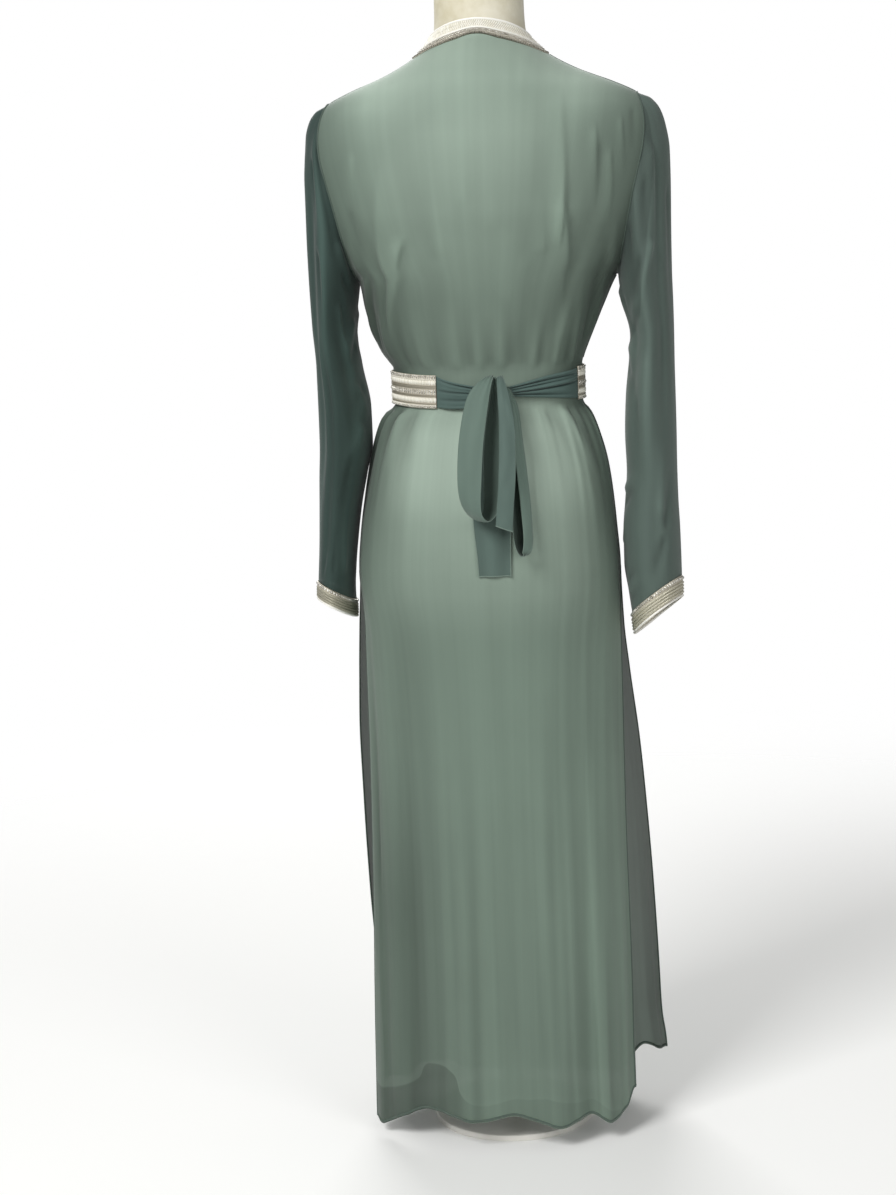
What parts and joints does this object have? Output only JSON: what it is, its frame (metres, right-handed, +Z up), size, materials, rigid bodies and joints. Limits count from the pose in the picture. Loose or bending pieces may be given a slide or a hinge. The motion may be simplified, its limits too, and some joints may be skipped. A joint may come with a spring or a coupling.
{
  "type": "jalabiya on dress form",
  "caption": "Floor-length sheer robe with long open sleeves, beaded braid at neck, cuffs and belt, sashes tied in a back bow, hanging on a limbless dress form with pole and base.",
  "frame": {"origin": "centre of the flat underside of the stand's base, under the pole", "axes": "+Z up, the robe's front faces -Y, its left side is +X"},
  "size_m": [0.4688, 0.2816, 1.464],
  "materials": {
    "chiffon": "sheer sage green chiffon",
    "braid": "cream and silver embroidered braid",
    "sash": "several layers of sage green chiffon",
    "form_cover": "cream jersey over a rigid shell",
    "cap_paint": "dark stained, satin",
    "stand_paint": "off-white, satin"
  },
  "bodies": {
    "root": {"back": "chiffon", "front": "chiffon", "sleeve_left": "chiffon", "sleeve_right": "chiffon", "neck_band": "braid", "cuff_left": "braid", "cuff_right": "braid", "belt_band": "braid", "sash_left": "sash", "sash_right": "sash", "knot": "sash", "loop_left": "sash", "loop_right": "sash", "tail_short": "sash", "tail_long": "sash", "form": "form_cover", "neck_cap": "cap_paint", "pole": "stand_paint", "base": "stand_paint"}
  },
  "joints": []
}
